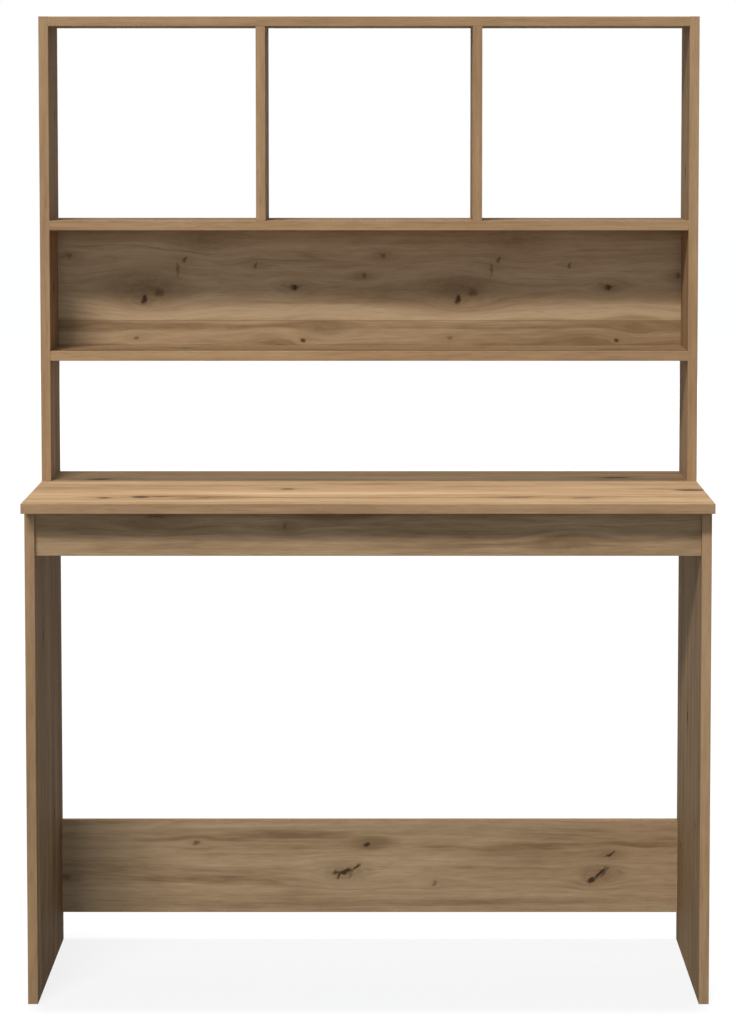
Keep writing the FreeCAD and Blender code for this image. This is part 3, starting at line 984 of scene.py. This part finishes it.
def band_material(name, look, oak, low, high):
    """Oak decor on the bands round a board, with the grain along each band.

    The bands on the ends of the board run across its grain, so there along and across change places.
    """
    material, steps, shader = new_material(name)
    along, across, through = grain_place(steps, look)
    axis = AXES.index(look.along)
    middle = (low[axis] + high[axis]) / 2
    half = (high[axis] - low[axis]) / 2
    out = steps.math("ABSOLUTE", steps.math("SUBTRACT", along, middle))
    at_end = steps.math("GREATER_THAN", out, half - END_BAND)
    at_side = steps.join(along, steps.math("ADD", across, look.shift + BAND_SIDE_SHIFT), through)
    over_end = steps.join(steps.math("ADD", across, look.shift + BAND_END_SHIFT), along, through)
    grain = steps.mix("VECTOR", at_end, at_side, over_end)
    figure = steps.group(oak_figure(), Grain=grain)
    pore = figure["Pore"]
    tone = steps.swing(figure["Tone"], BAND_CONTRAST, BODY_TONE)
    colour = oak_colour(steps, oak, tone, steps.math("MULTIPLY", figure["Vein"], BAND_VEINS), pore)
    steps.feed(shader.inputs["Base Color"], steps.blend(1.0, colour, oak.band_tint, "MULTIPLY"))
    steps.feed(shader.inputs["Roughness"], oak_roughness(steps, oak, tone, pore))
    shader.inputs["Specular IOR Level"].default_value = DECOR_SHINE
    emboss(steps, shader, oak_height(steps, tone, pore), BAND_RELIEF)
    return material


def beech_material(hardware):
    """Beech: close cloudy grain with short dark flecks."""
    material, steps, shader = new_material("beech_dowel")
    place = object_place(steps)
    dark = darker(hardware.beech, share=0.62)
    grain = steps.even_noise(place, scale=300.0, detail=4.0, roughness=0.6)
    flecks = steps.ease(steps.even_noise(place, scale=900.0, detail=1.0), low=0.60, high=0.70)
    colour = steps.blend(steps.ease(grain, low=0.35, high=0.65), dark, hardware.beech)
    colour = steps.blend(steps.math("MULTIPLY", flecks, 0.5), colour, dark)
    steps.feed(shader.inputs["Base Color"], colour)
    steps.feed(shader.inputs["Roughness"], steps.math("MULTIPLY_ADD", grain, 0.2, 0.5))
    emboss(steps, shader, grain, DOWEL_RELIEF)
    return material


def metal_material(name, tint, rough, scale, relief):
    """Metal with cloudy tarnish, fine grain of that scale in its gloss and a slight relief."""
    material, steps, shader = new_material(name)
    place = object_place(steps)
    cloud = steps.even_noise(place, scale=140.0)
    fine = steps.even_noise(place, scale, roughness=0.6)
    colour = steps.blend(steps.ease(cloud, low=0.35, high=0.65), darker(tint, share=0.72), tint)
    steps.feed(shader.inputs["Base Color"], colour)
    steps.feed(shader.inputs["Roughness"], steps.math("MULTIPLY_ADD", fine, 0.25, rough))
    shader.inputs["Metallic"].default_value = 1.0
    emboss(steps, shader, fine, relief)
    return material


def dress(node, material):
    """Gives every slot of a CAD node its finished material."""
    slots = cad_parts[node].material_slots
    if not slots:
        raise RuntimeError(f"{node} has no material slot")
    for slot in slots:
        slot.material = material


def dress_boards(looks, oak):
    """Finishes all boards of one table."""
    for name, look in looks.items():
        dress(name, board_material("oak_" + name, look, oak))


class DESK_OT_level_boards(bpy.types.Operator):
    """Finish the boards whose grain runs from left to right"""

    bl_idname = "desk.level_boards"
    bl_label = "Level boards"

    def execute(self, context):
        dress_boards(LEVEL_BOARDS, context.scene.desk_oak)
        return {"FINISHED"}


class DESK_OT_upright_boards(bpy.types.Operator):
    """Finish the boards whose grain runs upwards"""

    bl_idname = "desk.upright_boards"
    bl_label = "Upright boards"

    def execute(self, context):
        dress_boards(UPRIGHT_BOARDS, context.scene.desk_oak)
        return {"FINISHED"}


class DESK_OT_edge_bands(bpy.types.Operator):
    """Finish the glued bands on the edges of the boards"""

    bl_idname = "desk.edge_bands"
    bl_label = "Edge bands"

    def execute(self, context):
        for name, look in {**LEVEL_BOARDS, **UPRIGHT_BOARDS}.items():
            bands = name + "_edge_bands"
            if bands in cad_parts:
                low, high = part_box(bands)
                dress(bands, band_material("oak_" + bands, look, context.scene.desk_oak, low, high))
        return {"FINISHED"}


class DESK_OT_dowels(bpy.types.Operator):
    """Finish the wooden dowels"""

    bl_idname = "desk.dowels"
    bl_label = "Dowels"

    def execute(self, context):
        dress("wooden_dowels", beech_material(context.scene.desk_hardware))
        return {"FINISHED"}


class DESK_OT_fasteners(bpy.types.Operator):
    """Finish the cam locks, their bolts and the connecting screws"""

    bl_idname = "desk.fasteners"
    bl_label = "Fasteners"

    def execute(self, context):
        hardware = context.scene.desk_hardware
        for node, name, tint, rough, scale, relief in (
            ("cam_locks", "cast_zinc", hardware.zinc, 0.38, 1400.0, CAST_RELIEF),
            ("cam_bolts", "bolt_steel", hardware.steel, 0.22, 900.0, PLATED_RELIEF),
            ("connecting_screws", "screw_steel", hardware.steel, 0.25, 900.0, PLATED_RELIEF),
        ):
            dress(node, metal_material(name, tint, rough, scale, relief))
        return {"FINISHED"}


def seen_directly(steps):
    """One for rays of the camera, and for those that metal and glass send on, and zero for others."""
    path = steps.node("ShaderNodeLightPath").outputs
    seen = steps.math("MAXIMUM", path["Is Camera Ray"], path["Is Glossy Ray"])
    return steps.math("MAXIMUM", seen, path["Is Transmission Ray"])


def floor_material(studio):
    """A pale floor that the camera sees as white with the object's shade, and that is clear from below."""
    material = bpy.data.materials.new("studio_floor")
    material.use_nodes = True
    material.node_tree.nodes.clear()
    steps = Steps(material.node_tree)
    bounce = steps.fill(steps.node("ShaderNodeBsdfDiffuse"), studio.floor).outputs[0]
    shade = steps.fill(steps.node("ShaderNodeBsdfDiffuse"), FLOOR_SHADE).outputs[0]
    glow = steps.fill(steps.node("ShaderNodeEmission"), WHITE, FLOOR_GLOW).outputs[0]
    white = steps.fill(steps.node("ShaderNodeAddShader"), shade, glow).outputs[0]
    above = steps.fill(steps.node("ShaderNodeMixShader"), seen_directly(steps), bounce, white).outputs[0]
    below = steps.node("ShaderNodeNewGeometry").outputs["Backfacing"]
    clear = steps.node("ShaderNodeBsdfTransparent").outputs[0]
    surface = steps.fill(steps.node("ShaderNodeMixShader"), below, above, clear).outputs[0]
    steps.feed(steps.node("ShaderNodeOutputMaterial").inputs["Surface"], surface)
    return material


def studio_floor(studio):
    """A square floor just below the legs' feet."""
    half = studio.floor_size / 2
    corners = np.array([(-1, -1), (1, -1), (1, 1), (-1, 1)], float) * half
    points = np.column_stack([corners, np.full(len(corners), -FLOOR_DROP)])
    mesh = bpy.data.meshes.new("studio_floor")
    mesh.from_pydata(points.tolist(), [], [(0, 1, 2, 3)])
    mesh.materials.append(floor_material(studio))
    floor = bpy.data.objects.new("studio_floor", mesh)
    bpy.context.scene.collection.objects.link(floor)
    return floor


def studio_world(studio):
    """White to the camera and in reflections, and a faint cool light from all round."""
    world = bpy.data.worlds.new("studio_world")
    world.use_nodes = True
    bpy.context.scene.world = world
    steps = Steps(world.node_tree)
    background = world.node_tree.nodes["Background"]
    background.inputs["Strength"].default_value = 1.0
    ambient = darker(studio.shade_tint, studio.ambient)
    steps.feed(background.inputs["Color"], steps.blend(seen_directly(steps), ambient, WHITE))


def softbox(name, box, level):
    """A rectangular lamp that looks at the middle of the object from that side.

    A face turned to it gets the level times pi of light, so a level of 1 shows a colour as written.
    """
    way = Vector(box.way).normalized()
    lamp = bpy.data.lights.new(name, "AREA")
    lamp.shape = "RECTANGLE"
    lamp.size = box.width
    lamp.size_y = box.height
    lamp.energy = level * pi * pi * LAMP_DISTANCE**2
    holder = bpy.data.objects.new(name, lamp)
    holder.location = Vector(LAMP_AIM) + way * LAMP_DISTANCE
    holder.rotation_euler = way.to_track_quat("Z", "Y").to_euler()
    bpy.context.scene.collection.objects.link(holder)
    return holder


def light_only(lamp, pieces):
    """Makes a lamp light these objects and no others."""
    lit = bpy.data.collections.new("lit_by_" + lamp.name)
    for piece in pieces:
        lit.objects.link(piece)
    lamp.light_linking.receiver_collection = lit


def outer_pieces(side):
    """The boards and bands at one side, -1 for left and 1 for right, with the desktop's bands."""
    found = [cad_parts["desktop_edge_bands"]]
    for name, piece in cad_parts.items():
        low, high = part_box(name)
        if min(side * low.x, side * high.x) > OUTER_FROM:
            found.append(piece)
    return found


def studio_lamps(studio, floor):
    """Two key lamps, one for the bookcase and one for the rest, and lamps on all other sides but below."""
    desktop_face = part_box("desktop")[1].z
    desk = [floor]
    hutch = []
    for name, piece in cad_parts.items():
        on_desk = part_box(name)[0].z > desktop_face - TOUCH
        (hutch if on_desk else desk).append(piece)
    light_only(softbox("desk_key_softbox", DESK_KEY, studio.desk_key), desk)
    light_only(softbox("hutch_key_softbox", HUTCH_KEY, studio.hutch_key), hutch)
    softbox("fill_softbox", FILL, studio.fill).data.color = studio.shade_tint
    softbox("back_softbox", BACK, studio.back).visible_glossy = False
    light_only(softbox("left_softbox", LEFT, studio.left), outer_pieces(-1.0))
    light_only(softbox("right_softbox", RIGHT, studio.right), outer_pieces(1.0))
    above = bpy.data.lights.new("overhead_lamp", "SUN")
    above.energy = studio.overhead * pi
    above.angle = SUN_ANGLE
    holder = bpy.data.objects.new("overhead_lamp", above)
    holder.location = (0.0, 0.0, SUN_HEIGHT)
    bpy.context.scene.collection.objects.link(holder)


def studio_camera(studio):
    """A camera that looks into the depth of the desk and dips a little, with its picture shifted."""
    lens = bpy.data.cameras.new("studio_camera")
    lens.lens = studio.lens
    lens.shift_x, lens.shift_y = studio.shift
    camera = bpy.data.objects.new("studio_camera", lens)
    camera.location = studio.camera_place
    camera.rotation_euler = (radians(90.0) - studio.camera_dip, 0.0, 0.0)
    bpy.context.scene.collection.objects.link(camera)
    bpy.context.scene.camera = camera


class DESK_OT_studio(bpy.types.Operator):
    """Set the floor, the lights and the camera"""

    bl_idname = "desk.studio"
    bl_label = "Studio"

    def execute(self, context):
        studio = context.scene.desk_studio
        context.scene.view_settings.view_transform = "Standard"
        floor = studio_floor(studio)
        studio_world(studio)
        studio_lamps(studio, floor)
        studio_camera(studio)
        return {"FINISHED"}


OPERATORS = (
    DESK_OT_level_boards,
    DESK_OT_upright_boards,
    DESK_OT_edge_bands,
    DESK_OT_dowels,
    DESK_OT_fasteners,
    DESK_OT_studio,
)


class DESK_PT_sidebar(bpy.types.Panel):
    """Lists the finishes of the desk and its studio"""

    bl_label = "Oak desk"
    bl_idname = "DESK_PT_sidebar"
    bl_space_type = "VIEW_3D"
    bl_region_type = "UI"
    bl_category = "Desk"

    def draw(self, context):
        for operator in OPERATORS:
            self.layout.operator(operator.bl_idname)
        for settings in (context.scene.desk_oak, context.scene.desk_hardware, context.scene.desk_studio):
            for name in settings.__annotations__:
                self.layout.prop(settings, name)


CLASSES = (OakSettings, HardwareSettings, StudioSettings) + OPERATORS + (DESK_PT_sidebar,)


def register():
    """Makes the settings, the operators and the panel known."""
    for item in CLASSES:
        bpy.utils.register_class(item)
    bpy.types.Scene.desk_oak = bpy.props.PointerProperty(type=OakSettings)
    bpy.types.Scene.desk_hardware = bpy.props.PointerProperty(type=HardwareSettings)
    bpy.types.Scene.desk_studio = bpy.props.PointerProperty(type=StudioSettings)


def unregister():
    """Takes them away again."""
    del bpy.types.Scene.desk_studio
    del bpy.types.Scene.desk_hardware
    del bpy.types.Scene.desk_oak
    for item in reversed(CLASSES):
        bpy.utils.unregister_class(item)


def main():
    """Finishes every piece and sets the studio."""
    register()
    bpy.ops.desk.level_boards()
    bpy.ops.desk.upright_boards()
    bpy.ops.desk.edge_bands()
    bpy.ops.desk.dowels()
    bpy.ops.desk.fasteners()
    bpy.ops.desk.studio()


if __name__ == "__main__":
    main()
